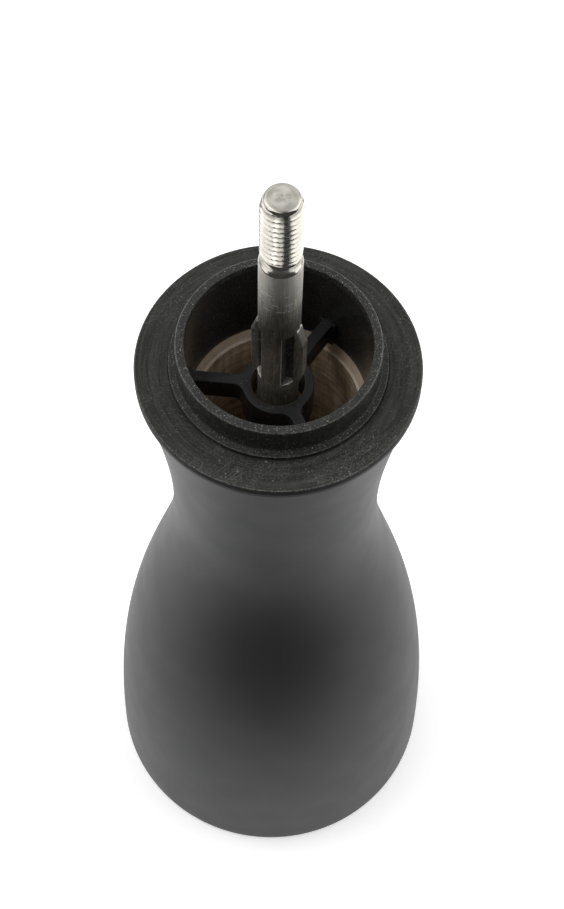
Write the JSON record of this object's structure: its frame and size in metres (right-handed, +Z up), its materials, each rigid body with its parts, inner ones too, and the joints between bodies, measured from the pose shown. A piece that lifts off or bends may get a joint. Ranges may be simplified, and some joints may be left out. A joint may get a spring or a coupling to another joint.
{
  "type": "pepper mill",
  "caption": "Manual pepper mill body with collar, bearing spider, threaded drive shaft and a spring-loaded grinding mechanism in its base; head and top knob left off.",
  "frame": {"origin": "centre of the flat foot, on the surface the mill stands on", "axes": "+Z up along the mill's axis, which is also the shaft's axis; the picture looks along +Y and down"},
  "size_m": [0.0608, 0.0608, 0.1739],
  "materials": {
    "lacquer": "turned hardwood, matt dark grey lacquer outside, black top face, bare bore",
    "black_plastic": "black moulded plastic, fine eroded texture",
    "spider_plastic": "black moulded plastic, satin",
    "cage_plastic": "black moulded plastic",
    "burr_steel": "hardened, dark oiled steel",
    "bush_brass": "turned brass",
    "plated_steel": "zinc plated",
    "spring_steel": "drawn wire",
    "seat_polymer": "natural acetal",
    "shaft_steel": "drawn stainless bar, rolled thread"
  },
  "bodies": {
    "root": {"body": "lacquer", "collar": "black_plastic", "bearing_spider": "spider_plastic", "mechanism_cage": "cage_plastic", "stator": "burr_steel", "bearing_bush": "bush_brass", "upper_spring_washer": "plated_steel", "base_plate": "plated_steel", "plate_screw_1": "plated_steel", "plate_screw_2": "plated_steel", "plate_screw_3": "plated_steel"},
    "lift": {"spring_seat": "seat_polymer", "spring": "spring_steel"},
    "drive": {"shaft": "shaft_steel", "shaft_clip": "plated_steel", "rotor": "burr_steel", "rotor_washer": "plated_steel", "rotor_nut": "plated_steel"}
  },
  "joints": [
    {"name": "grind_adjust", "type": "slide", "parent": "root", "child": "lift", "axis": [0, 0, 1], "range_m": [0, 0.0012], "stiffness_N_per_m": 2500, "springref_m": -0.002, "deforming": ["spring"]},
    {"name": "shaft_spin", "type": "hinge", "parent": "lift", "child": "drive", "pos_m": [0, 0, 0.0165], "axis": [0, 0, 1], "continuous": true}
  ]
}
